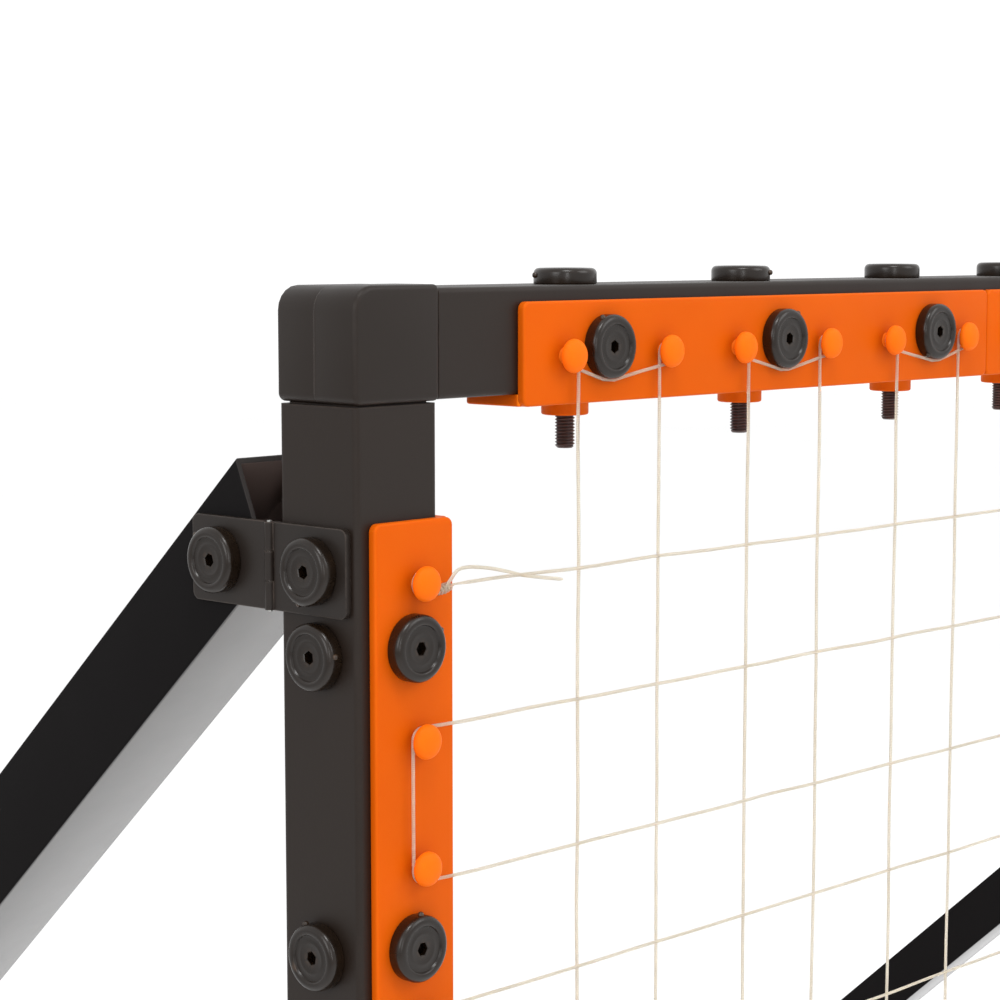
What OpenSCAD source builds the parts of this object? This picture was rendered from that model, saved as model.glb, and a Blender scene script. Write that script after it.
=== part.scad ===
// Free-standing practice goal: a square-tube front frame with moulded corners, clip-on peg rails
// that carry a strung twine net, and two hinged side stays that fold outward about vertical pins.
// Axes: X along the crossbar, Y from front to back, Z up, origin under the middle of the whole part.

/* [Frame tubes] */
// Outside width of every square tube
tube_w = 40; // [36:1:44]
// Wall thickness of the tubes
wall = 2; // [1.5:0.1:2.5]
// Height of the rubber feet under the tubes
foot_h = 12; // [10:1:20]

/* [Peg rails] */
// Length of one peg rail
rail_l = 310; // [304:1:320]
// Number of peg rails along the crossbar
rails_across = 4; // [3:1:4]
// Number of peg rails along each post
rails_up = 3; // [2:1:3]
// Distance from the outer corner of the frame to the first rail
rail_start = 82; // [80:1:90]
// Thickness of the rail's front flange
rail_t = 3.4; // [3:0.1:4]
// Thickness of the rail's inner flange
inner_t = 4.6; // [4:0.1:5]
// Width across a peg's head
peg_d = 12.8; // [11:0.1:13]

/* [Bolts] */
// Diameter of the round bolt heads
head_d = 24; // [20:1:26]
// Height of the bolt heads
head_h = 6.2; // [6:0.1:8]
// Thread diameter of all bolts
bolt_d = 7.8; // [6:0.1:8]

/* [Net] */
// Diameter of the twine
twine_d = 1.6; // [1.2:0.1:1.6]

/* [Side stays] */
// Angle of the braces below the horizontal
brace_angle = 42.6; // [40:0.2:48]
// Gap between the posts and the side stays
hinge_gap = 6; // [6:0.5:10]

/* [Hidden] */
$fn = 48;
frame_w = rails_across * rail_l + 2 * rail_start;
frame_h = rails_up * rail_l + 2 * rail_start;
top_z = foot_h + frame_h;
mid = tube_w / 2;

// Peg rail, in the frame of the member that carries it: x runs along the tube, z = 0 is its outer
// face, y = 0 its front face
peg_places = [-132.5, -75.5, -29, 29, 75.5, 132.5];
front_bolt_places = [-109.5, 0, 109.5];
boss_offset = 3;
rail_gap = 0.3;
flange_top = 5.7;
flange_depth = 28;
front_bolt_z = 23.4;
peg_z = 26.2;
peg_stem_d = 5.2;
peg_edge_r = 3.2;
peg_head_y = -rail_t - 4.8;
peg_back_y = -rail_t - 3.6;
boss_d = 18.5;
boss_h = 6;
thread_end = 13;
clearance_d = 8.6;

// Bolt head details and the threaded inserts behind the tube walls
recess_d = 17;
recess_h = 1;
socket_d = 6;
socket_h = 4;
short_reach = 12;
insert_d = 11;
insert_l = 13.5;
insert_bulge_d = 14;
insert_bulge_l = 4;
insert_bore_d = 8;

// Corner connectors
cap_w = 40.3;
cap_lip = 1;
cap_corner_r = 9;
cap_edge_r = 3;
tube_end = 41;
spigot_w = tube_w - 2 * wall - 0.6;
spigot_end = 85;

// Net planes and turns round the pegs
turn_r = peg_stem_d / 2 + twine_d / 2 + 0.1;
run_offset = 4.9;
upright_y = peg_back_y + 0.2 + twine_d / 2;
level_y = upright_y - twine_d - 0.1;
turn_gap = 4.6;
side_gap = 6.2;
level_gap = 7.2;
bend_gap = 0.3;
head_gap = 0.6;
tail_drop = 3.4;
tail_start = 12;
tail_end = 74;

// Hinges: leaf sizes, bolt places from the pin, the pin's axis in the leaves' outer surface and the
// two heights
leaf_t = 2.5;
post_leaf_l = 40;
stay_leaf_l = 43;
leaf_tall = 32;
post_bolt_reach = 23;
stay_bolt_reach = 28;
barrel_r = 1.9;
pin_r = 0.9;
pin_x = -leaf_t;
pin_y = tube_w + hinge_gap / 2;
upper_leaf_z = top_z - 99.7;
lower_leaf_z = foot_h + mid;
post_bolt_y = pin_y - post_bolt_reach;
stay_bolt_y = pin_y + stay_bolt_reach;
stay_y = tube_w + hinge_gap;
leaf_corner_r = 3;

// Braces: the upper edge passes edge_y behind the frame's front at edge_drop below its top
edge_y = 80;
edge_drop = 76.7;
cut_y = 64.4;
cut_lean = 23;
slope = tan(brace_angle);
brace_rise = tube_w / cos(brace_angle);
rail_top = foot_h + tube_w;
brace_foot_y = edge_y + (top_z - edge_drop - rail_top) / slope;
ground_end = round(brace_foot_y) + 10;
ground_l = ground_end - stay_y;
plug_t = 3;

// Rear gusset plates
gusset_t = 2.5;
gusset_low = foot_h + 8;
gusset_bolt_z = foot_h + mid;
gusset_top = rail_top + 66;
gusset_brace_z = rail_top + 42;
gusset_brace_y = edge_y + (top_z - edge_drop - brace_rise / 2 - gusset_brace_z) / slope;

// The part's depth, and the shift that centres it on the origin
peg_front = -peg_head_y + peg_edge_r;
depth_shift = -(ground_end + plug_t - peg_front) / 2;

SIDES = ["crossbar", "right_post", "bottom_bar", "left_post"];
HANDS = ["left", "right"];

function side_rails(side) = side % 2 == 0 ? rails_across : rails_up;
function side_length(side) = side % 2 == 0 ? frame_w : frame_h;
function rail_middle(index) = rail_start + (index + 0.5) * rail_l;
// Distances of all the pegs of one member from its corner
function peg_xs(side) = [for (i = [0:side_rails(side) - 1]) for (p = peg_places) rail_middle(i) + p];

// Distances of all the front bolts of one member from its corner
function bolt_xs(side) =
    [for (i = [0:side_rails(side) - 1]) for (b = front_bolt_places) rail_middle(i) + b];

// Offset of the bosses from the front bolts: always away from the nearest top or side corner
function boss_shift(side, index) =
    side == 1 || (side != 3 && index < rails_across / 2) ? boss_offset : -boss_offset;

// Places children in the frame of one member: 0 crossbar, 1 right post, 2 bottom bar, 3 left post
module on_side(side) {
    corner_x = side == 0 || side == 3 ? -frame_w / 2 : frame_w / 2;
    corner_z = side < 2 ? top_z : foot_h;
    translate([corner_x, depth_shift, corner_z]) rotate([0, 90 * side, 0]) children();
}

// Places children on one hand: x = 0 is the outer face of the post and x grows inward
module on_hand(hand) {
    mirror([hand, 0, 0]) translate([-frame_w / 2, depth_shift, 0]) children();
}

module rounded_rect(w, h, r) {
    translate([r, 0]) square([w - 2 * r, h]);
    translate([0, r]) square([w, h - 2 * r]);
    for (x = [r, w - r]) for (y = [r, h - r]) translate([x, y]) circle(r);
}

// Profile drawn in y and z, extruded along x
module along_x(length) {
    rotate([90, 0, 90]) linear_extrude(length) children();
}

module tube_along_x(length) {
    along_x(length) difference() {
        rounded_rect(tube_w, tube_w, 2);
        translate([wall, wall]) rounded_rect(tube_w - 2 * wall, tube_w - 2 * wall, 1);
    }
}

// Round hole or rod along y, from y0 to y1
module rod_y(x, z, y0, y1, d) {
    translate([x, y0, z]) rotate([-90, 0, 0]) cylinder(h = y1 - y0, d = d);
}

module member(side) {
    length = side_length(side);
    color("dimgray") on_side(side) difference() {
        translate([tube_end, 0, -tube_w]) tube_along_x(length - 2 * tube_end);
        for (i = [0:side_rails(side) - 1]) for (b = front_bolt_places) {
            x = rail_middle(i) + b;
            rod_y(x, -front_bolt_z, -1, wall + 1, insert_d + 0.2);
            translate([x + boss_shift(side, i), mid, -tube_w - 1])
                cylinder(h = tube_w + 2, d = clearance_d);
        }
        if (side % 2 == 1) hinge_insert_hole(side);
    }
}

// The upper hinge's insert goes through the post's outer wall
module hinge_insert_hole(side) {
    drop = top_z - upper_leaf_z;
    x = side == 1 ? drop : frame_h - drop;
    translate([x, mid, -wall - 1]) cylinder(h = wall + 2, d = insert_d + 0.2);
}

// Moulded corner: a block with a rounded outer corner, a proud front half and a spigot in each tube
module corner(side, is_bottom) {
    spigot_y = (tube_w - spigot_w) / 2;
    spigot_l = spigot_end - cap_w + 4;
    color("dimgray") difference() {
        on_side(side) {
            corner_block(cap_lip, -cap_lip, mid);
            corner_block(0, mid, tube_w);
            translate([cap_w - 4, spigot_y, -tube_w + spigot_y]) cube([spigot_l, spigot_w, spigot_w]);
            translate([spigot_y, spigot_y, -spigot_end]) cube([spigot_w, spigot_w, spigot_l]);
        }
        if (is_bottom) for (hand = [0, 1]) on_hand(hand) bottom_corner_seats();
    }
}

module corner_block(lip, y0, y1) {
    width = cap_w + lip;
    translate([-lip, y1, -cap_w]) rotate([90, 0, 0]) linear_extrude(y1 - y0) difference() {
        rounded_rect(width, width, cap_edge_r);
        translate([-1, width - cap_corner_r]) difference() {
            square([cap_corner_r + 1, cap_corner_r + 1]);
            translate([cap_corner_r + 1, 0]) circle(cap_corner_r);
        }
    }
}

// Flat seats for the foot and for the lower hinge leaf, and the tapped hole of the leaf's bolt
module bottom_corner_seats() {
    seat = leaf_tall + 1;
    translate([-5, -5, lower_leaf_z - seat / 2]) cube([5, tube_w + 10, seat]);
    translate([-5, -5, foot_h - 5]) cube([tube_w + 10, tube_w + 10, 5]);
    outward(lower_leaf_z, post_bolt_y) translate([0, 0, -short_reach - 1])
        cylinder(h = short_reach + 2, d = insert_bore_d);
}

module peg() {
    rotate([90, 0, 0]) {
        translate([0, 0, rail_t - 1]) cylinder(h = -peg_head_y - rail_t + 1, d = peg_stem_d);
        translate([0, 0, -peg_head_y]) rotate_extrude() intersection() {
            union() {
                translate([peg_d / 2 - peg_edge_r, 0]) circle(peg_edge_r);
                translate([0, -peg_edge_r]) square([peg_d / 2 - peg_edge_r, 2 * peg_edge_r]);
            }
            translate([0, peg_head_y - peg_back_y]) square([peg_d, 2 * peg_edge_r]);
        }
    }
}

// L-shaped rail with pegs on its front flange and threaded bosses under its inner flange
module peg_rail(side, index) {
    length = rail_l - rail_gap;
    low = tube_w + inner_t;
    shift = boss_shift(side, index);
    color("darkorange") on_side(side) translate([rail_middle(index), 0, 0]) difference() {
        union() {
            translate([-length / 2, 0, -low]) rotate([90, 0, 0])
                linear_extrude(rail_t) rounded_rect(length, low - flange_top, 3);
            translate([-length / 2, -1, -low]) linear_extrude(inner_t)
                rounded_rect(length, flange_depth + 1, 3);
            for (p = peg_places) translate([p, 0, -peg_z]) peg();
            for (b = front_bolt_places)
                translate([b + shift, mid, -low - boss_h]) cylinder(h = boss_h + 1, d = boss_d);
        }
        for (b = front_bolt_places) {
            rod_y(b, -front_bolt_z, -rail_t - 1, 1, clearance_d);
            translate([b + shift, mid, -low - boss_h - 1])
                cylinder(h = boss_h + inner_t + 2, d = insert_bore_d);
        }
    }
}

// Bolt with its head above z = 0 and its thread below
module bolt(reach) {
    difference() {
        union() {
            rotate_extrude() {
                square([head_d / 2 - 1.5, head_h]);
                square([head_d / 2, head_h - 1.5]);
                translate([head_d / 2 - 1.5, head_h - 1.5]) circle(1.5);
            }
            translate([0, 0, -reach]) cylinder(h = reach + 1, d = bolt_d);
        }
        translate([0, 0, head_h - recess_h]) cylinder(h = recess_h + 1, d = recess_d);
        translate([0, 0, head_h - recess_h - socket_h]) cylinder(h = socket_h + 1, d = socket_d, $fn = 6);
    }
}

module front_bolts(side) {
    color("black") on_side(side)
        for (i = [0:side_rails(side) - 1]) for (b = front_bolt_places)
            translate([rail_middle(i) + b, -rail_t, -front_bolt_z]) rotate([90, 0, 0])
                bolt(rail_t + short_reach);
}

module through_bolts(side) {
    color("black") on_side(side)
        for (i = [0:side_rails(side) - 1]) for (b = front_bolt_places)
            translate([rail_middle(i) + b + boss_shift(side, i), mid, 0])
                bolt(tube_w + inner_t + boss_h + thread_end);
}

// Insert with its mouth at z = 0, standing down into the tube, upset behind the wall
module insert() {
    difference() {
        union() {
            translate([0, 0, -insert_l]) cylinder(h = insert_l - 0.1, d = insert_d);
            translate([0, 0, -wall - insert_bulge_l]) cylinder(h = insert_bulge_l - 0.1, d = insert_bulge_d);
        }
        translate([0, 0, -insert_l - 1]) cylinder(h = insert_l + 2, d = insert_bore_d);
    }
}

module threaded_inserts() {
    color("silver") {
        for (side = [0:3]) on_side(side)
            for (i = [0:side_rails(side) - 1]) for (b = front_bolt_places)
                translate([rail_middle(i) + b, 0, -front_bolt_z]) rotate([90, 0, 0]) insert();
        for (hand = [0, 1]) on_hand(hand) outward(upper_leaf_z, post_bolt_y) insert();
    }
}

// Turns +z to the outward side at one height and depth on the outer face
module outward(z, y) {
    translate([0, y, z]) rotate([0, -90, 0]) children();
}

module foot() {
    linear_extrude(foot_h) rounded_rect(tube_w - 4, tube_w - 4, 5);
}

module front_feet() {
    color("black") for (hand = [0, 1]) on_hand(hand) translate([2, 2, 0]) foot();
}

// Straight piece of twine between two points in a plane parallel to the front, stopping short of
// the first point by gap0 and of the second by gap1
module strand(x0, z0, x1, z1, y, gap0, gap1) {
    run = norm([x1 - x0, z1 - z0]);
    translate([x0, y, z0]) rotate([0, atan2(x1 - x0, z1 - z0), 0])
        translate([0, 0, gap0]) cylinder(h = run - gap0 - gap1, d = twine_d);
}

// Whole turn of twine round a peg's stem
module ring(x, z, y) {
    translate([x, y, z]) rotate([90, 0, 0]) rotate_extrude() translate([turn_r, 0]) circle(d = twine_d);
}

// Twine of one member between the two pegs of each pair, held down by the bolt head between them
module head_spans(side) {
    pegs = peg_xs(side);
    bolts = bolt_xs(side);
    low = -front_bolt_z - head_d / 2 - twine_d / 2 - head_gap;
    start = -peg_z - run_offset;
    color("ivory") on_side(side) for (i = [0:len(bolts) - 1]) {
        strand(pegs[2 * i], start, bolts[i], low, upright_y, side_gap, bend_gap);
        strand(bolts[i], low, pegs[2 * i + 1], start, upright_y, bend_gap, side_gap);
    }
}

// Twine running up and down between the crossbar and the bottom bar, turning round every peg
module upright_net_twine() {
    xs = peg_xs(0);
    color("ivory") translate([0, depth_shift, 0]) for (i = [0:len(xs) - 1]) {
        x = xs[i] - frame_w / 2;
        run_x = x + (i % 2 == 0 ? run_offset : -run_offset);
        strand(run_x, foot_h + peg_z, run_x, top_z - peg_z, upright_y, turn_gap, turn_gap);
        ring(x, top_z - peg_z, upright_y);
        ring(x, foot_h + peg_z, upright_y);
    }
    head_spans(0);
    color("ivory") on_side(2) for (i = [1:2:len(xs) - 3])
        strand(xs[i], run_offset - peg_z, xs[i + 1], run_offset - peg_z, upright_y, side_gap, side_gap);
}

// Twine running from side to side between the posts. It is tied to the left post's top peg, and its
// loose end lies under the first run
module level_net_twine() {
    zs = [for (p = peg_xs(1)) top_z - p];
    left_peg = -frame_w / 2 + peg_z;
    right_peg = frame_w / 2 - peg_z;
    color("ivory") translate([0, depth_shift, 0]) {
        strand(left_peg, zs[0], right_peg, zs[0], level_y, level_gap, level_gap);
        for (i = [1:len(zs) - 1]) {
            run_z = zs[i] + (i % 2 == 0 ? -run_offset : run_offset);
            strand(left_peg, run_z, right_peg, run_z, level_y, level_gap, level_gap);
        }
        for (x = [left_peg, right_peg]) for (z = zs) ring(x, z, upright_y);
        for (i = [1:2:len(zs) - 3])
            strand(left_peg - run_offset, zs[i], left_peg - run_offset, zs[i + 1], upright_y,
                side_gap, side_gap);
        tail_z = zs[0] - tail_drop;
        strand(left_peg + tail_start, tail_z, left_peg + tail_end, tail_z, level_y, 0, 0);
    }
    head_spans(1);
}

// Side view of a brace in y and z, with its sloping edges moved inward by inset and both of its
// ends moved outward by extra
module brace_outline(inset, extra) {
    shift = inset / cos(brace_angle);
    upper_z0 = top_z - edge_drop + slope * edge_y - shift;
    lower_z0 = upper_z0 - brace_rise + 2 * shift;
    lean = tan(cut_lean);
    cut_z = top_z - edge_drop - slope * (cut_y - edge_y);
    foot_z = rail_top - extra;
    // Where the leaning end cut meets a sloping edge that passes height z0 at y = 0
    cut_meets = function(z0) (cut_y - extra - lean * (cut_z - z0)) / (1 + lean * slope);
    edge_point = function(y, z0) [y, z0 - slope * y];
    polygon([
        edge_point(cut_meets(upper_z0), upper_z0),
        edge_point((upper_z0 - foot_z) / slope, upper_z0),
        edge_point((lower_z0 - foot_z) / slope, lower_z0),
        edge_point(cut_meets(lower_z0), lower_z0)
    ]);
}

module brace(hand) {
    color("dimgray") on_hand(hand) difference() {
        along_x(tube_w) brace_outline(0, 0);
        translate([wall, 0, 0]) along_x(tube_w - 2 * wall) brace_outline(wall, 20);
        outward(upper_leaf_z, stay_places[0]) insert_hole();
        outward(gusset_brace_z, gusset_brace_y) insert_hole();
    }
}

module insert_hole() {
    translate([0, 0, -wall - 1]) cylinder(h = wall + 2, d = insert_d + 0.2);
}

module ground_rail(hand) {
    color("dimgray") on_hand(hand) difference() {
        translate([tube_w, stay_y, foot_h]) rotate([0, 0, 90]) tube_along_x(ground_l);
        for (y = stay_places) outward(gusset_bolt_z, y) insert_hole();
    }
}

// Places of the inserts along the ground rail: the lower hinge and two for the gusset plate
stay_places = [stay_bolt_y, ground_end - 110, ground_end - 25];

// Push-in plugs that close both ends of a ground rail
module ground_rail_plugs(hand) {
    core = tube_w - 2 * wall - 0.6;
    inset = wall + 0.3;
    color("black") on_hand(hand) {
        translate([0.5, ground_end, foot_h + 0.5]) cube([tube_w - 1, plug_t, tube_w - 1]);
        translate([inset, ground_end - 12, foot_h + inset]) cube([core, 12.5, core]);
        translate([inset, stay_y + 0.5, foot_h + inset]) cube([core, 12, core]);
    }
}

module gusset_plate(hand) {
    color("black") on_hand(hand) translate([-gusset_t, 0, 0]) difference() {
        along_x(gusset_t) polygon([
            [stay_places[1] - 18, gusset_low],
            [stay_places[2] + 18, gusset_low],
            [stay_places[2] + 18, rail_top - 6],
            [gusset_brace_y + 16, gusset_top - 8],
            [gusset_brace_y - 14, gusset_top],
            [stay_places[1] - 18, rail_top + 6]
        ]);
        for (y = [stay_places[1], stay_places[2]]) outward(gusset_bolt_z, y) plate_hole();
        outward(gusset_brace_z, gusset_brace_y) plate_hole();
    }
}

module plate_hole() {
    translate([0, 0, -leaf_t - 1]) cylinder(h = 2 * leaf_t + 2, d = clearance_d);
}

module rear_foot(hand) {
    color("black") on_hand(hand) translate([2, ground_end - tube_w, 0]) foot();
}

module stay_bolts(hand) {
    color("black") on_hand(hand) translate([-leaf_t, 0, 0]) {
        outward(upper_leaf_z, stay_places[0]) bolt(short_reach + leaf_t);
        for (y = stay_places) outward(gusset_bolt_z, y) bolt(short_reach + leaf_t);
        outward(gusset_brace_z, gusset_brace_y) bolt(short_reach + leaf_t);
    }
}

module stay_inserts(hand) {
    color("silver") on_hand(hand) {
        outward(upper_leaf_z, stay_places[0]) insert();
        for (y = stay_places) outward(gusset_bolt_z, y) insert();
        outward(gusset_brace_z, gusset_brace_y) insert();
    }
}

module hinge_post_bolts(hand) {
    color("black") on_hand(hand) translate([-leaf_t, 0, 0])
        for (z = [upper_leaf_z, lower_leaf_z]) outward(z, post_bolt_y) bolt(short_reach + leaf_t);
}

// Hinge plate with its knuckles, drawn with the pin's axis at the origin and the plate along -y
module hinge_leaf(length, bolt_reach, knuckles) {
    difference() {
        union() {
            translate([0, -length, -leaf_tall / 2]) along_x(leaf_t) leaf_outline(length);
            for (k = knuckles) translate([0, 0, k[0]]) cylinder(h = k[1] - k[0], r = barrel_r);
        }
        for (k = knuckles) translate([0, 0, k[0] - 1]) cylinder(h = k[1] - k[0] + 2, r = pin_r + 0.05);
        translate([leaf_t, -bolt_reach, 0]) rotate([0, -90, 0]) plate_hole();
    }
}

module leaf_outline(length) {
    width = length - 0.2;
    translate([leaf_corner_r, 0]) square([width - leaf_corner_r, leaf_tall]);
    translate([0, leaf_corner_r]) square([leaf_corner_r + 1, leaf_tall - 2 * leaf_corner_r]);
    for (z = [leaf_corner_r, leaf_tall - leaf_corner_r]) translate([leaf_corner_r, z]) circle(leaf_corner_r);
}

// The knuckles of the two leaves alternate along the pin
third = leaf_tall / 3;
post_knuckles = [[-leaf_tall / 2, -third / 2 - 0.2], [third / 2 + 0.2, leaf_tall / 2]];
stay_knuckles = [[-third / 2, third / 2]];

module post_hinge_leaves(hand) {
    color("black") on_hand(hand) for (z = [upper_leaf_z, lower_leaf_z])
        translate([pin_x, pin_y, z]) difference() {
            hinge_leaf(post_leaf_l, post_bolt_reach, post_knuckles);
            cylinder(h = third + 0.4, r = barrel_r + 0.3, center = true);
        }
}

module stay_hinge_leaves(hand) {
    color("black") on_hand(hand) for (z = [upper_leaf_z, lower_leaf_z])
        translate([pin_x, pin_y, z]) difference() {
            mirror([0, 1, 0]) hinge_leaf(stay_leaf_l, stay_bolt_reach, stay_knuckles);
            for (s = [-1, 1]) translate([0, 0, s * (third + 0.3)])
                cylinder(h = third + 0.2, r = barrel_r + 0.3, center = true);
        }
}

module hinge_pins(hand) {
    color("silver") on_hand(hand) for (z = [upper_leaf_z, lower_leaf_z])
        translate([pin_x, pin_y, z - leaf_tall / 2 - 0.5]) cylinder(h = leaf_tall + 1, r = pin_r);
}

for (s = [0:3]) {
    member(s);
    front_bolts(s);
    through_bolts(s);
    for (i = [1:side_rails(s)])
        peg_rail(s, i - 1);
}
corner(0, false);  // top_left_corner
corner(1, false);  // top_right_corner
corner(2, true);  // bottom_right_corner
corner(3, true);  // bottom_left_corner
threaded_inserts();
front_feet();
upright_net_twine();
level_net_twine();
for (h = [0, 1]) {
    brace(h);
    ground_rail(h);
    ground_rail_plugs(h);
    gusset_plate(h);
    rear_foot(h);
    stay_bolts(h);
    stay_inserts(h);
    post_hinge_leaves(h);
    stay_hinge_leaves(h);
    hinge_pins(h);
    hinge_post_bolts(h);
}
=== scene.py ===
"""Looks of the practice goal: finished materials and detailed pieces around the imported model."""

import math
import random

import bmesh
import bpy
from mathutils import Matrix, Vector, noise


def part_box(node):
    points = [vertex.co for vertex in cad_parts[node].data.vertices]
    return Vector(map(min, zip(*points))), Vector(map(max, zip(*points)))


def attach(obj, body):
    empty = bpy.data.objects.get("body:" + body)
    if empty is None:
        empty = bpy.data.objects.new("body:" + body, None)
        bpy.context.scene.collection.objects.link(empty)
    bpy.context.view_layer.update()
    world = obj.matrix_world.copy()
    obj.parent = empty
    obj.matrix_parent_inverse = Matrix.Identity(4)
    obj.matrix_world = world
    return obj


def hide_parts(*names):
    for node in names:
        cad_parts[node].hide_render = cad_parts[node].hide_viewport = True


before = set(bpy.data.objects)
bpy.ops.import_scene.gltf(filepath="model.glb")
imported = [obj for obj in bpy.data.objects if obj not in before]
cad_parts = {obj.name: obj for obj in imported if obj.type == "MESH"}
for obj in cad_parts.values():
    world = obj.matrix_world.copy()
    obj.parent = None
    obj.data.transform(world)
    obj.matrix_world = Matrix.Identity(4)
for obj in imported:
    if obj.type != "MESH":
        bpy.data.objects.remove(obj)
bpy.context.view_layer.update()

MM = 0.001
TURN = 2 * math.pi
FORWARD = Matrix.Rotation(math.radians(90), 4, "X")
SWAP_YZ = Matrix(((1, 0, 0, 0), (0, 0, 1, 0), (0, 1, 0, 0), (0, 0, 0, 1)))
SIDES = ("crossbar", "right_post", "bottom_bar", "left_post")
HANDS = ("left", "right")
scene = bpy.context.scene

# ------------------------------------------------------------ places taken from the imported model
left_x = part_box("left_post")[0].x
right_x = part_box("right_post")[1].x
top_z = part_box("crossbar")[1].z
foot_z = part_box("bottom_bar")[0].z
front_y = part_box("crossbar")[0].y
tube_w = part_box("crossbar")[1].y - front_y
outer_corner = Vector((left_x, front_y, top_z))

# Sizes the boxes don't give, in millimetres. On a member, x runs along the tube, z = 0 is its
# outer face and y = 0 its front face
TUBE = tube_w / MM
RAIL_T = 3.4
INNER_T = 4.6
FLANGE_TOP = 5.7
FLANGE_DEPTH = 28
PEG_PLACES = (-132.5, -75.5, -29, 29, 75.5, 132.5)
BOLT_PLACES = (-109.5, 0, 109.5)
BOSS_OFFSET = 3
PEG_Z = -26.2
PEG_STEM_R = 2.6
PEG_HEAD_R = 6.4
PEG_FRONT_Y = -11.4
PEG_BACK_Y = -7
BOLT_Z = -23.4
BOSS_R = 9.25
BOSS_H = 6
HEAD_R = 12.3
HEAD_H = 6.2
THREAD_R = 3.9
THREAD_END = 13
THREAD_PITCH = 1.25
SHORT_REACH = 12
TWINE_R = 0.66
TIGHT_R = 3.5
LOOSE_R = 4.2
RUN_OFFSET = 4.9
UPRIGHT_Y = -6
LEVEL_Y = -7.7
CAP_W = 40.3
CAP_LIPS = (1.3, 1)
SPIGOT_W = 35.4
SPIGOT_END = 85
BRACE_WALL = 2
BRACE_EDGE_R = 1.1
BRACE_INNER_R = 0.6


def side_matrix(side):
    """Frame of one member, in millimetres."""
    corner = Vector((
        left_x if side in (0, 3) else right_x,
        front_y,
        top_z if side < 2 else foot_z,
    ))
    turn = Matrix.Rotation(math.radians(90 * side), 4, "Y")
    return Matrix.Translation(corner) @ turn @ Matrix.Scale(MM, 4)


def rail_nodes(side):
    """A member's peg rails with the distance of each one's middle from the member's corner."""
    found = []
    for name in sorted(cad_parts):
        if name.startswith(SIDES[side] + "_peg_rail_"):
            low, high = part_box(name)
            middle = side_matrix(side).inverted() @ ((low + high) / 2)
            found.append((name, middle.x))
    return found


def boss_shift(side, index):
    """The bosses stand off the front bolts, away from the nearest top or side corner."""
    away = side == 1 or (side != 3 and index < len(rail_nodes(side)) / 2)
    return BOSS_OFFSET if away else -BOSS_OFFSET


# ------------------------------------------------------------ camera
EYE = Vector((-0.6113, -0.6494, 0.0172))
YAW = 46.77
PITCH = -6.62
camera_data = bpy.data.cameras.new("camera")
camera = bpy.data.objects.new("camera", camera_data)
camera.location = outer_corner + EYE
camera.rotation_euler = (math.radians(90 + PITCH), 0, math.radians(-YAW))
camera_data.sensor_width = 36
camera_data.lens = 92.4
camera_data.shift_x = -0.0126
camera_data.shift_y = 0.037
camera_data.clip_start = 0.05
scene.collection.objects.link(camera)
scene.camera = camera


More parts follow.
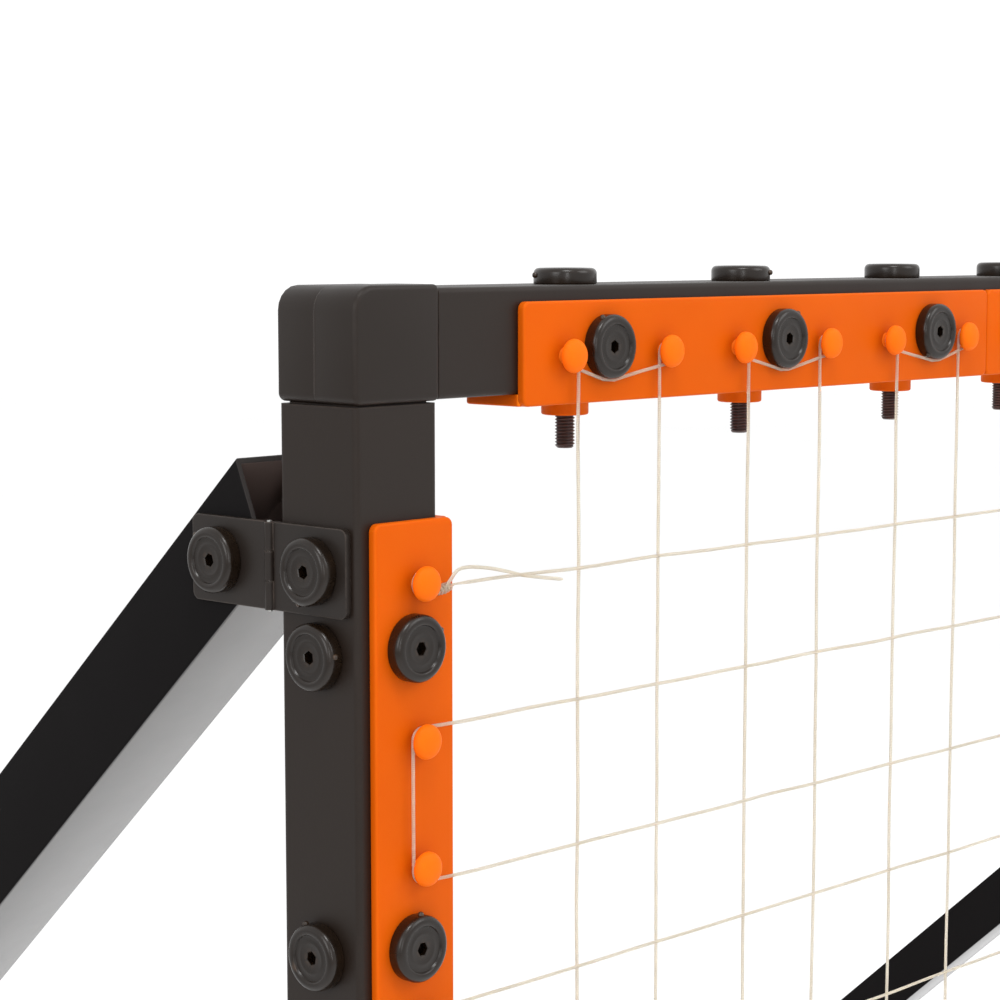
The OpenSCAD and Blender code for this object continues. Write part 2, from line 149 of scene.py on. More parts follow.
# ------------------------------------------------------------ materials
class Paint:
    """A material's node tree with short ways to add nodes."""

    def __init__(self, name):
        self.material = bpy.data.materials.new(name)
        self.material.use_nodes = True
        self.nodes = self.material.node_tree.nodes
        self.links = self.material.node_tree.links
        self.shader = self.nodes["Principled BSDF"]
        self.place = self.nodes.new("ShaderNodeTexCoord").outputs["Object"]

    def noise(self, scale, detail=4):
        node = self.nodes.new("ShaderNodeTexNoise")
        node.inputs["Scale"].default_value = scale
        node.inputs["Detail"].default_value = detail
        self.links.new(self.place, node.inputs["Vector"])
        return node.outputs["Fac"]

    def ramp(self, value, stops):
        node = self.nodes.new("ShaderNodeValToRGB")
        elements = node.color_ramp.elements
        while len(elements) < len(stops):
            elements.new(0.5)
        for element, (at, colour) in zip(elements, stops):
            element.position = at
            element.color = (*colour, 1)
        self.links.new(value, node.inputs["Fac"])
        return node.outputs["Color"]

    def spread(self, value, low, high):
        node = self.nodes.new("ShaderNodeMapRange")
        node.inputs["From Min"].default_value = 0.3
        node.inputs["From Max"].default_value = 0.7
        node.inputs["To Min"].default_value = low
        node.inputs["To Max"].default_value = high
        self.links.new(value, node.inputs["Value"])
        return node.outputs["Result"]

    def mix(self, amount, first, second):
        node = self.nodes.new("ShaderNodeMix")
        node.data_type = "RGBA"
        self.links.new(amount, node.inputs["Factor"])
        self.links.new(first, node.inputs["A"])
        self.links.new(second, node.inputs["B"])
        return node.outputs["Result"]

    def edges(self, low, high):
        """1 on convex edges and 0 on flats."""
        node = self.nodes.new("ShaderNodeNewGeometry")
        stretch = self.nodes.new("ShaderNodeMapRange")
        stretch.inputs["From Min"].default_value = low
        stretch.inputs["From Max"].default_value = high
        self.links.new(node.outputs["Pointiness"], stretch.inputs["Value"])
        return stretch.outputs["Result"]

    def rim(self, radius):
        """1 close to sharp edges and 0 on flats, for pieces with few points."""
        flat = self.nodes.new("ShaderNodeNewGeometry").outputs["Normal"]
        compare = self.nodes.new("ShaderNodeVectorMath")
        compare.operation = "DOT_PRODUCT"
        self.links.new(self.soft_edge(radius), compare.inputs[0])
        self.links.new(flat, compare.inputs[1])
        stretch = self.nodes.new("ShaderNodeMapRange")
        stretch.inputs["From Min"].default_value = 1.0
        stretch.inputs["From Max"].default_value = 0.88
        self.links.new(compare.outputs["Value"], stretch.inputs["Value"])
        return stretch.outputs["Result"]

    def bump(self, height, strength, distance, under=None):
        node = self.nodes.new("ShaderNodeBump")
        node.inputs["Strength"].default_value = strength
        node.inputs["Distance"].default_value = distance
        self.links.new(height, node.inputs["Height"])
        if under:
            self.links.new(under, node.inputs["Normal"])
        return node.outputs["Normal"]

    def soft_edge(self, radius):
        node = self.nodes.new("ShaderNodeBevel")
        node.samples = 4
        node.inputs["Radius"].default_value = radius
        return node.outputs["Normal"]

    def into(self, socket, value):
        self.links.new(value, self.shader.inputs[socket])


def soft_black(name, tint, roughness, grain, edge_radius=0.0, specular=0.26, edge_highlight_gain=3):
    """Black paint or plastic: faintly mottled, fine grain, uneven gloss and a paler tint on the edges, which
    is a painted highlight.
    """
    paint = Paint(name)
    dark = tuple(0.93 * c for c in tint)
    # The paler tint mixed in along the edges is a painted highlight.
    edge_highlight_tint = tuple(edge_highlight_gain * c + 0.006 for c in tint)
    tone = paint.ramp(paint.noise(14, 2), [(0.35, dark), (0.7, tint)])
    edge = paint.ramp(paint.noise(160), [(0.3, tint), (0.7, edge_highlight_tint)])
    mask = paint.rim(edge_radius) if edge_radius else paint.edges(0.52, 0.6)
    paint.into("Base Color", paint.mix(mask, tone, edge))
    paint.into("Roughness", paint.spread(paint.noise(45), roughness - 0.03, roughness + 0.05))
    paint.shader.inputs["Specular IOR Level"].default_value = specular
    under = paint.soft_edge(edge_radius) if edge_radius else None
    paint.into("Normal", paint.bump(paint.noise(grain, 6), 0.1, 0.0002, under))
    return paint.material


def orange_plastic(name, low, high, rim_highlight_low, rim_highlight_high):
    """Saturated orange moulding: a soft blotchy tone, a painted highlight on the rims and a low satin gloss.
    """
    paint = Paint(name)
    tone = paint.ramp(paint.noise(12, 3), [(0.3, low), (0.7, high)])
    # The paler rim tint on convex edges is a painted highlight.
    rim = paint.ramp(paint.noise(90), [(0.4, rim_highlight_low), (0.7, rim_highlight_high)])
    paint.into("Base Color", paint.mix(paint.edges(0.53, 0.62), tone, rim))
    paint.into("Roughness", paint.spread(paint.noise(70), 0.42, 0.52))
    shader = paint.shader
    shader.inputs["Specular IOR Level"].default_value = 0.05
    shader.inputs["Subsurface Weight"].default_value = 0.1
    shader.inputs["Subsurface Radius"].default_value = (0.004, 0.0012, 0.0004)
    shader.inputs["Subsurface Scale"].default_value = 1.0
    paint.into("Normal", paint.bump(paint.noise(900, 5), 0.08, 0.0002))
    return paint.material


def zinc():
    paint = Paint("zinc_plate")
    tone = paint.ramp(paint.noise(150), [(0.35, (0.42, 0.42, 0.4)), (0.7, (0.66, 0.65, 0.62))])
    paint.into("Base Color", tone)
    paint.into("Roughness", paint.spread(paint.noise(200), 0.28, 0.42))
    paint.shader.inputs["Metallic"].default_value = 1.0
    paint.into("Normal", paint.bump(paint.noise(1500, 3), 0.15, 0.0001))
    return paint.material


def twine_look():
    """Cream twisted cord: slanting strands from the tube's own coordinates, painted shade in the grooves
    between strands and uneven tone.
    """
    paint = Paint("twine")
    lay = paint.nodes.new("ShaderNodeTexCoord").outputs["UV"]
    wave = paint.nodes.new("ShaderNodeTexWave")
    wave.bands_direction = "DIAGONAL"
    wave.inputs["Scale"].default_value = 1.0
    wave.inputs["Distortion"].default_value = 0.6
    wave.inputs["Detail"].default_value = 2
    paint.links.new(lay, wave.inputs["Vector"])
    strands = wave.outputs["Fac"]
    # The darker tint where the strand pattern is low falls in the grooves that the bump makes: painted shade.
    tone = paint.ramp(strands, [(0.1, (0.62, 0.55, 0.44)), (0.65, (0.88, 0.82, 0.71))])
    aged = paint.ramp(paint.noise(40), [(0.3, (0.72, 0.65, 0.54)), (0.7, (0.9, 0.85, 0.76))])
    blend = paint.spread(paint.noise(300), 0.25, 0.6)
    paint.into("Base Color", paint.mix(blend, tone, aged))
    paint.into("Roughness", paint.spread(paint.noise(400), 0.4, 0.6))
    shader = paint.shader
    shader.inputs["Subsurface Weight"].default_value = 0.35
    shader.inputs["Transmission Weight"].default_value = 0.72
    shader.inputs["IOR"].default_value = 1.15
    shader.inputs["Subsurface Radius"].default_value = (0.0015, 0.0013, 0.001)
    shader.inputs["Subsurface Scale"].default_value = 1.0
    paint.into("Normal", paint.bump(strands, 0.5, 0.0003))
    return paint.material


def glossy_black():
    """The braces' undersides: a lit copy of the brace black, with a paler tint that is painted light, under a
    clear coat that reflects the floor.
    """
    paint = Paint("brace_underside")
    tone = paint.ramp(paint.noise(14, 2), [(0.35, (0.014, 0.0135, 0.0135)), (0.7, (0.02, 0.0195, 0.019))])
    paint.into("Base Color", tone)
    paint.into("Roughness", paint.spread(paint.noise(45), 0.3, 0.36))
    paint.shader.inputs["Coat Weight"].default_value = 1.0
    paint.shader.inputs["Coat IOR"].default_value = 1.8
    paint.shader.inputs["Coat Roughness"].default_value = 0.22
    paint.into("Normal", paint.bump(paint.noise(700, 6), 0.06, 0.0002))
    return paint.material


# Every soft black gets paler edges as a painted highlight, strongest on the bolts, brackets and corner caps.
tube_black = soft_black("tube_black", (0.0118, 0.0064, 0.0038), 0.44, 700, 0.0012)
brace_black = soft_black("brace_black", (0.008, 0.0072, 0.0074), 0.5, 700, 0.0008, specular=0.02)
brace_inside = soft_black("brace_inside", (0.18, 0.13, 0.115), 0.6, 500, 0.0008, edge_highlight_gain=1)
# The cut ends get a paler black than the tube: painted light on faces that the post shades.
brace_cut = soft_black("brace_cut", (0.036, 0.031, 0.029), 0.6, 500, 0.0008, edge_highlight_gain=1)
brace_underside_lit = glossy_black()
corner_black = soft_black("corner_black", (0.0118, 0.007, 0.0046), 0.4, 1100, 0.001, edge_highlight_gain=4)
bolt_black = soft_black("bolt_black", (0.0078, 0.004, 0.0018), 0.25, 1300, specular=0.38, edge_highlight_gain=7)
thread_black = soft_black("thread_black", (0.045, 0.025, 0.022), 0.35, 1300, specular=0.4)
bracket_black = soft_black("bracket_black", (0.0145, 0.0102, 0.008), 0.36, 900, 0.0008, edge_highlight_gain=6)
rubber_black = soft_black("rubber_black", (0.012, 0.012, 0.012), 0.7, 500, 0.0015)
orange = orange_plastic("orange_moulding", (0.55, 0.081, 0.001), (0.62, 0.094, 0.0015),
                        (0.76, 0.15, 0.004), (0.86, 0.2, 0.008))
peg_orange = orange_plastic("orange_pegs", (0.76, 0.126, 0.003), (0.82, 0.146, 0.005),
                            (0.82, 0.14, 0.005), (0.88, 0.17, 0.009))
steel = zinc()
cream = twine_look()


def dress(name, material):
    """Puts a finished material on a CAD node that stays."""
    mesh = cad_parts[name].data
    mesh.materials.clear()
    mesh.materials.append(material)


# ------------------------------------------------------------ mesh building
def add_rings(mesh, rings, matrix, material=0):
    """Skins closed rings of equal length into a bmesh and closes both ends."""
    made = [[mesh.verts.new(matrix @ Vector(p)) for p in ring] for ring in rings]
    count = len(made[0])
    faces = [mesh.faces.new(list(reversed(made[0]))), mesh.faces.new(made[-1])]
    for low, high in zip(made, made[1:]):
        for i in range(count):
            j = (i + 1) % count
            faces.append(mesh.faces.new((low[i], low[j], high[j], high[i])))
    for face in faces:
        face.material_index = material
    return made


def finish_mesh(name, mesh, materials, body, replaced, smooth_angle=40):
    """Turns a bmesh into a shown piece that stands for CAD nodes."""
    bmesh.ops.recalc_face_normals(mesh, faces=mesh.faces)
    data = bpy.data.meshes.new(name)
    mesh.to_mesh(data)
    mesh.free()
    for material in materials:
        data.materials.append(material)
    data.shade_smooth()
    data.set_sharp_from_angle(angle=math.radians(smooth_angle))
    piece = bpy.data.objects.new(name, data)
    scene.collection.objects.link(piece)
    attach(piece, body)
    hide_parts(*replaced)
    return piece


def lathe_rings(profile, count, radius_at=None):
    """Rings about z from (radius, z) pairs; radius_at can reshape a ring by its angle."""
    rings = []
    for index, (radius, z) in enumerate(profile):
        ring = []
        for k in range(count):
            angle = TURN * k / count
            r = radius_at(index, radius, z, angle) if radius_at else radius
            ring.append((r * math.cos(angle), r * math.sin(angle), z))
        rings.append(ring)
    return rings


def arc(cx, cy, radius, start, end, steps):
    """Points on an arc, with angles in degrees."""
    angles = [math.radians(start + (end - start) * k / steps) for k in range(steps + 1)]
    return [(cx + radius * math.cos(a), cy + radius * math.sin(a)) for a in angles]


def rounded_outline(x0, z0, x1, z1, radii, steps=5):
    """Counterclockwise rectangle with its own radius at each corner, from the low left one on."""
    centres = (
        (x0 + radii[0], z0 + radii[0], 180),
        (x1 - radii[1], z0 + radii[1], 270),
        (x1 - radii[2], z1 - radii[2], 0),
        (x0 + radii[3], z1 - radii[3], 90),
    )
    points = []
    for (cx, cz, start), radius in zip(centres, radii):
        points += arc(cx, cz, radius, start, start + 90, steps)
    return points


def add_slab(mesh, matrix, box, y0, y1, radii, edges, steps=4):
    """Plate in x and z from y0 to y1, with rounded corners and a rounded rim at each face."""
    x0, z0, x1, z1 = box
    profile = []
    for k in range(steps + 1):
        angle = math.pi / 2 * k / steps
        profile.append((edges[0] * (1 - math.sin(angle)), y0 + edges[0] * (1 - math.cos(angle))))
    for k in range(steps + 1):
        angle = math.pi / 2 * (1 - k / steps)
        profile.append((edges[1] * (1 - math.sin(angle)), y1 - edges[1] * (1 - math.cos(angle))))
    rings = []
    for inset, y in profile:
        smaller = [max(r - inset, 0.05) for r in radii]
        outline = rounded_outline(x0 + inset, z0 + inset, x1 - inset, z1 - inset, smaller)
        rings.append([(x, y, z) for x, z in outline])
    add_rings(mesh, rings, matrix)


# ------------------------------------------------------------ bolts
FOOT_EDGE_R = 0.5
RIM_R = 2.2
DISH_EDGE_R = 0.8
DISH_RING = ((6.4, 0), (6, 0.08), (5.4, 0.08), (5, 0))
SOCKET_R = 2.5
SOCKET_CHAMFER = 0.35
SOCKET_DEPTH = 4
RECESS_R = 8.5
RECESS_DEPTH = 1
THREAD_WAVE = 0.35
THREAD_STEPS = 6
NUB = ((1.2, 0), (1.1, 1.7), (0.8, 2.2), (0.3, 2.4))
NUB_PLACE = (HEAD_R - 1.2, 0, HEAD_H * 0.55)
SIDEWAYS = Matrix.Rotation(math.radians(90), 4, "Y")


def hexagon(radius, angle):
    """Radius of a hexagon at an angle."""
    sector = math.pi / 3
    return radius * math.cos(sector / 2) / math.cos((angle + sector / 2) % sector - sector / 2)


def bolt_profile(reach, threaded):
    """(radius, z, kind) from the tip of the shank up and over the head into the socket."""
    rings = [(0.4, -reach, "round"), (THREAD_R - 1, -reach, "round"), (THREAD_R - 0.4, 0.6 - reach, "round")]
    if threaded:
        steps = round(threaded / THREAD_PITCH * THREAD_STEPS)
        rise = THREAD_PITCH / THREAD_STEPS
        start = 0.9 - reach
        rings += [(THREAD_R - THREAD_WAVE, start + k * rise, "thread") for k in range(steps)]
        rings.append((THREAD_R, start + steps * rise, "round"))
    rings += [(THREAD_R, -0.1, "round"), (THREAD_R + 0.3, 0, "round"), (HEAD_R - FOOT_EDGE_R, 0, "round")]
    rings += [(r, z, "round") for r, z in arc(HEAD_R - FOOT_EDGE_R, FOOT_EDGE_R, FOOT_EDGE_R, -60, 0, 2)]
    rings += [(r, z, "round") for r, z in arc(HEAD_R - RIM_R, HEAD_H - RIM_R, RIM_R, 0, 90, 7)]
    dish = HEAD_H - RECESS_DEPTH
    lip = arc(RECESS_R + DISH_EDGE_R, HEAD_H - DISH_EDGE_R, DISH_EDGE_R, 100, 170, 3)
    rings += [(r, z, "round") for r, z in lip]
    rings += [(RECESS_R - 0.2, dish + 0.05, "round"), (RECESS_R - DISH_EDGE_R, dish, "round")]
    rings += [(r, dish + z, "round") for r, z in DISH_RING]
    rings += [(SOCKET_R + SOCKET_CHAMFER, dish, "hex"), (SOCKET_R, dish - SOCKET_CHAMFER, "hex")]
    rings += [(SOCKET_R, dish - SOCKET_DEPTH, "hex"), (0.3, dish - SOCKET_DEPTH - 0.3, "round")]
    return rings


def add_bolt(mesh, matrix, reach, threaded=0, count=48):
    """A bolt standing on z = 0 with its head up; the shank takes the second material."""
    profile = bolt_profile(reach, threaded)

    def radius_at(index, radius, z, angle):
        kind = profile[index][2]
        if kind == "hex":
            return hexagon(radius, angle)
        if kind == "thread":
            return radius + THREAD_WAVE * math.cos(TURN * z / THREAD_PITCH - angle)
        return radius

    rings = lathe_rings([(r, z) for r, z, kind in profile], count, radius_at)
    made = add_rings(mesh, rings, matrix)
    for (radius, z, kind), ring in zip(profile, made):
        for face in {face for vert in ring for face in vert.link_faces if z < 0}:
            face.material_index = 1
    gate = Matrix.Translation(NUB_PLACE) @ SIDEWAYS
    add_rings(mesh, lathe_rings(NUB, 10), matrix @ gate)


def any_turn():
    return Matrix.Rotation(random.uniform(0, TURN), 4, "Z")


def front_bolts(side):
    mesh = bmesh.new()
    for name, middle in rail_nodes(side):
        for place in BOLT_PLACES:
            at = Matrix.Translation((middle + place, -RAIL_T, BOLT_Z))
            add_bolt(mesh, side_matrix(side) @ at @ FORWARD @ any_turn(), RAIL_T + SHORT_REACH)
    node = SIDES[side] + "_front_bolts"
    finish_mesh(node + "_finished", mesh, [bolt_black, thread_black], "frame", [node])


def through_bolts(side):
    mesh = bmesh.new()
    reach = TUBE + INNER_T + BOSS_H + THREAD_END
    for index, (name, middle) in enumerate(rail_nodes(side)):
        for place in BOLT_PLACES:
            at = Matrix.Translation((middle + place + boss_shift(side, index), TUBE / 2, 0))
            add_bolt(mesh, side_matrix(side) @ at @ any_turn(), reach, THREAD_END + 1)
    node = SIDES[side] + "_through_bolts"
    finish_mesh(node + "_finished", mesh, [bolt_black, thread_black], "frame", [node])


def hinge_and_stay_bolts(hand):
    """Bolts of the hinges and of the rear plate, at the places of the leaves' and plate's holes."""
    name = HANDS[hand]
    for node, body in ((name + "_stay_bolts", name + "_stay"), (name + "_hinge_post_bolts", "frame")):
        mesh = bmesh.new()
        for centre in head_centres(node):
            side_out = Matrix.Rotation(math.radians(90 if hand else -90), 4, "Y")
            place = Matrix.Translation(centre) @ Matrix.Scale(MM, 4) @ side_out
            add_bolt(mesh, place @ Matrix.Translation((0, 0, -HEAD_H)) @ any_turn(), SHORT_REACH)
        finish_mesh(node + "_finished", mesh, [bolt_black, thread_black], body, [node])


def head_centres(node):
    """Middle of each bolt head's outermost ring in a CAD node of sideways bolts."""
    points = [vertex.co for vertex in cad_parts[node].data.vertices]
    outermost = max(abs(point.x) for point in points)
    groups = []
    for point in points:
        if abs(point.x) < outermost - 0.1 * MM:
            continue
        near = next((g for g in groups if (g[0] - point).length < 2.2 * HEAD_R * MM), None)
        if near is None:
            groups.append([point])
        else:
            near.append(point)
    centres = []
    for group in groups:
        low = Vector([min(p[k] for p in group) for k in range(3)])
        high = Vector([max(p[k] for p in group) for k in range(3)])
        centres.append((low + high) / 2)
    return centres


# ------------------------------------------------------------ peg rails
PEG_ROOT = 0.6
PEG_EDGE_R = 0.9
DOME_STEPS = 8
DOME_POWER = 0.75
RAIL_CORNER_R = 3
RAIL_EDGES = (1, 0.4)
SHELF_EDGES = (0.9, 0.4)
BOSS_EDGE_R = 0.9


def peg_profile():
    """Stem with a small root fillet and a domed head, as (radius, distance forward)."""
    back, front = -PEG_BACK_Y, -PEG_FRONT_Y
    root = PEG_STEM_R + PEG_ROOT
    rings = [(0.3, RAIL_T - 1), (root, RAIL_T - 1), (root, RAIL_T)]
    rings += [(PEG_STEM_R + 0.15, RAIL_T + 0.4), (PEG_STEM_R, RAIL_T + 0.8), (PEG_STEM_R, back - 0.1)]
    rings += [(PEG_STEM_R + 0.4, back), (PEG_HEAD_R - PEG_EDGE_R, back)]
    rings += arc(PEG_HEAD_R - PEG_EDGE_R, back + PEG_EDGE_R, PEG_EDGE_R, -60, 0, 3)
    dome_start = back + 1.3
    for k in range(DOME_STEPS):
        angle = math.pi / 2 * k / DOME_STEPS
        rise = (front - dome_start) * math.sin(angle)
        rings.append((PEG_HEAD_R * math.cos(angle) ** DOME_POWER, dome_start + rise))
    rings.append((0.3, front))
    return rings


def peg_rail(side, name, middle, index):
    """Angle moulding with its front face and inner shelf, six pegs and three collars."""
    mesh = bmesh.new()
    low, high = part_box(name)
    along = (high - low)[0 if side % 2 == 0 else 2] / MM
    place = side_matrix(side) @ Matrix.Translation((middle, 0, 0))
    under = -TUBE - INNER_T
    face = (-along / 2, under, along / 2, -FLANGE_TOP)
    add_slab(mesh, place, face, -RAIL_T, 0, (RAIL_CORNER_R,) * 4, RAIL_EDGES)
    flat = place @ Matrix.Translation((0, 0, under)) @ SWAP_YZ
    shelf = (-along / 2, -0.6, along / 2, FLANGE_DEPTH)
    add_slab(mesh, flat, shelf, 0, INNER_T, (1, 1, RAIL_CORNER_R, RAIL_CORNER_R), SHELF_EDGES)
    for peg in PEG_PLACES:
        at = Matrix.Translation((peg, 0, PEG_Z))
        add_rings(mesh, lathe_rings(peg_profile(), 32), place @ at @ FORWARD, 1)
    boss = [(0.4, 0), (BOSS_R - BOSS_EDGE_R, 0)]
    boss += arc(BOSS_R - BOSS_EDGE_R, BOSS_EDGE_R, BOSS_EDGE_R, -60, 0, 3)
    boss += [(BOSS_R, BOSS_H), (0.4, BOSS_H + 1)]
    for bolt in BOLT_PLACES:
        foot = Matrix.Translation((bolt + boss_shift(side, index), TUBE / 2, under - BOSS_H))
        add_rings(mesh, lathe_rings(boss, 40), place @ foot)
    finish_mesh(name + "_finished", mesh, [orange, peg_orange], "frame", [name])


# ------------------------------------------------------------ top corners and braces
CAP_CORNERS = (3, 2, 2, 9)
CAP_OUTER_EDGE = 1.7
CAP_SEAM_EDGE = 0.4
SPIGOT_EDGE_R = 1.5
SPIGOT_OVERLAP = 4


def top_corner(side, name):
    """Moulded cap in two halves: the front half stands a little prouder; a spigot fills each tube."""
    mesh = bmesh.new()
    place = side_matrix(side)
    depths = ((-CAP_LIPS[0], TUBE / 2), (TUBE / 2 - 1, TUBE))
    edges = ((CAP_OUTER_EDGE, CAP_SEAM_EDGE), (CAP_SEAM_EDGE, CAP_OUTER_EDGE))
    for lip, (near, far), rims in zip(CAP_LIPS, depths, edges):
        add_slab(mesh, place, (-lip, -CAP_W, CAP_W, lip), near, far, CAP_CORNERS, rims, 5)
    inset = (TUBE - SPIGOT_W) / 2
    across = (CAP_W - SPIGOT_OVERLAP, -inset - SPIGOT_W, SPIGOT_END, -inset)
    down = (inset, -SPIGOT_END, inset + SPIGOT_W, SPIGOT_OVERLAP - CAP_W)
    for spigot in (across, down):
        add_slab(mesh, place, spigot, inset, inset + SPIGOT_W, (SPIGOT_EDGE_R,) * 4, (SPIGOT_EDGE_R,) * 2)
    finish_mesh(name + "_finished", mesh, [corner_black], "frame", [name])


def section(half, radius, steps=4):
    """Rounded square about the middle of a tube, as (across, up) pairs."""
    return rounded_outline(-half, -half, half, half, (radius,) * 4, steps)


def brace(hand):
    """Sloping square tube with rounded edges: open and lean-cut at the top, mitred at the foot."""
    name = HANDS[hand] + "_brace"
    points = [vertex.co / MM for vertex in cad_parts[name].data.vertices]
    low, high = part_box(name)
    low, high = low / MM, high / MM
    top_edge = [p for p in points if p.z > high.z - 0.1]
    foot = [p.y for p in points if p.z < low.z + 0.1]
    head_y = sum(p.y for p in top_edge) / len(top_edge)
    slope = (high.z - low.z) / (high.y - head_y)
    angle = math.atan(slope)
    down = Vector((0, math.cos(angle), -math.sin(angle)))
    up = Vector((0, math.sin(angle), math.cos(angle)))
    middle_x = (low.x + high.x) / 2
    middle = Vector((middle_x, (min(foot) + max(foot)) / 2, low.z))
    front_low = min(points, key=lambda p: p.y)
    lean = (Vector((0, head_y, high.z)) - Vector((0, front_low.y, front_low.z))).normalized()
    cut_normal = lean.cross(Vector((1, 0, 0)))
    mesh = bmesh.new()
    loops = []
    for half, radius in ((TUBE / 2, BRACE_EDGE_R), (TUBE / 2 - BRACE_WALL, BRACE_INNER_R)):
        ends = [[], []]
        for across, rise in section(half, radius):
            start = middle + Vector((across, 0, 0)) + up * rise
            to_foot = (low.z - start.z) / down.z
            top = Vector((0, head_y, high.z))
            to_cut = (top - start).dot(cut_normal) / down.dot(cut_normal)
            ends[0].append(mesh.verts.new((start + down * to_cut) * MM))
            ends[1].append(mesh.verts.new((start + down * to_foot) * MM))
        loops.append(ends)
    outer, inner = loops
    count = len(outer[0])
    for i in range(count):
        j = (i + 1) % count
        wall = mesh.faces.new((outer[0][i], outer[0][j], outer[1][j], outer[1][i]))
        facing = (wall.calc_center_median() / MM - middle).dot(up)
        # Walls that face down take the underside's lit copy of the paint.
        wall.material_index = 2 if facing < -TUBE / 2 * 0.98 else 0
        hollow = mesh.faces.new((inner[0][i], inner[0][j], inner[1][j], inner[1][i]))
        hollow.material_index = 1
        for end in (0, 1):
            # The end faces take brace_cut, whose paler tint is painted light.
            rim = mesh.faces.new((outer[end][i], outer[end][j], inner[end][j], inner[end][i]))
            rim.material_index = 3
    looks = [brace_black, brace_inside, brace_underside_lit, brace_cut]
    finish_mesh(name + "_finished", mesh, looks, HANDS[hand] + "_stay", [name], 30)


# ------------------------------------------------------------ net twine
def tangent_angle(first, second):
    """Direction of the left normal of the line that leaves one counterclockwise wheel for the next."""
    dx, dz = second[0] - first[0], second[1] - first[1]
    gap = math.hypot(dx, dz)
    return math.atan2(dz, dx) + math.acos((second[2] - first[2]) / gap)


def belt(wheels, run_y):
    """Path round counterclockwise wheels (x, z, radius, y): arcs at their y, and run_y between far ones."""
    points = []
    leave = [tangent_angle(a, b) for a, b in zip(wheels, wheels[1:])]
    for index, (x, z, radius, y) in enumerate(wheels):
        start = leave[index - 1] + math.pi if index else leave[0] + math.pi
        end = leave[index] + math.pi if index < len(leave) else start + 0.7 * TURN
        sweep = (end - start) % TURN
        steps = max(1, round(sweep / math.radians(18)))
        for k in range(steps + 1 if sweep > 0.001 else 1):
            angle = start + sweep * k / steps
            points.append(Vector((x + radius * math.cos(angle), y, z + radius * math.sin(angle))))
        if index < len(leave):
            nx, nz, next_radius, next_y = wheels[index + 1]
            angle = leave[index] + math.pi
            target = Vector((nx + next_radius * math.cos(angle), next_y, nz + next_radius * math.sin(angle)))
            points += straight(points[-1], target, run_y)
    return points


STEP = 7
SWAY = 0.5
SWAY_LENGTH = 45
SETTLE = 18
LONG_RUN = 200


def straight(start, end, run_y):
    """Points between two ends, with a slight waviness; a long run leans out to run_y."""
    length = (end - start).length
    count = int(length / STEP)
    across = Vector((start.z - end.z, 0, end.x - start.x)).normalized()
    wave = random.uniform(0, 50)
    points = []
    for k in range(1, count):
        t = k / count
        point = start.lerp(end, t)
        near = min(1, t * length / SETTLE, (1 - t) * length / SETTLE)
        sway = noise.noise(Vector((wave, t * length / SWAY_LENGTH, 0))) * SWAY
        point += across * sway * near
        if length > LONG_RUN:
            drift = noise.noise(Vector((0, wave, t * length / 60)))
            point.y += (run_y - point.y) * near + 0.25 * near * drift
        points.append(point)
    return points


def add_twine(mesh, matrix, points, radius=TWINE_R, sides=8, start_v=0.0):
    """Tube along a path, with rounded ends and its own lengthwise coordinates."""
    layer = mesh.loops.layers.uv.verify()
    directions = []
    for k, point in enumerate(points):
        before, after = points[max(k - 1, 0)], points[min(k + 1, len(points) - 1)]
        directions.append((after - before).normalized())
    up = directions[0].orthogonal().normalized()
    rings, lengths, length = [], [], start_v
    for k, point in enumerate(points):
        along = directions[k]
        up = (up - along * up.dot(along)).normalized()
        across = along.cross(up)
        if k:
            length += (point - points[k - 1]).length
        shrink = 0.55 if k in (0, len(points) - 1) else 1
        ring = []
        for i in range(sides):
            a = TURN * i / sides
            ring.append(point + (up * math.cos(a) + across * math.sin(a)) * radius * shrink)
        rings.append(ring)
        lengths.append(length)
    made = add_rings(mesh, rings, matrix)
    number = {vert: (k, i) for k, ring in enumerate(made) for i, vert in enumerate(ring)}
    for ring in made:
        for vert in ring:
            for loop in vert.link_loops:
                k, i = number[vert]
                others = [number[v][1] for v in loop.face.verts if v in number]
                wrap = sides if i == 0 and sides - 1 in others and len(others) == 4 else 0
                loop[layer].uv = ((i + wrap) / sides * 0.5, lengths[k] * 0.9)


def peg_lines(side):
    """Distances of a member's pegs and front bolts from its corner."""
    middles = [middle for name, middle in rail_nodes(side)]
    pegs = [middle + p for middle in middles for p in PEG_PLACES]
    bolts = [middle + b for middle in middles for b in BOLT_PLACES]
    return sorted(pegs), sorted(bolts)


def wheel(side, along, inward, radius, shift=(0, 0)):
    """A peg or bolt head as a wheel, in millimetres from the frame's top left outer corner."""
    place = side_matrix(0).inverted() @ side_matrix(side) @ Vector((along, 0, inward))
    return (place.x + shift[0], place.z + shift[1], radius, UPRIGHT_Y)


HEAD_TURN_R = HEAD_R + TWINE_R
LOOSE = RUN_OFFSET - LOOSE_R


def upright_route():
    """Up and down between the bars. A loop round a left-hand peg closes below the peg's head."""
    pegs, bolts = peg_lines(0)
    far = (right_x - left_x) / MM
    route = []
    for k in range(0, len(pegs), 2):
        left, right = pegs[k], pegs[k + 1]
        route += [
            wheel(2, far - left, PEG_Z, LOOSE_R, (LOOSE, -LOOSE)),
            wheel(0, left, PEG_Z, 1, (RUN_OFFSET - 1, -6)),
            wheel(0, left, PEG_Z, TIGHT_R),
            wheel(0, bolts[k // 2], BOLT_Z, HEAD_TURN_R),
            wheel(0, right, PEG_Z, LOOSE_R, (-LOOSE, -LOOSE)),
            wheel(2, far - right, PEG_Z, LOOSE_R, (-LOOSE, -LOOSE)),
        ]
    return route


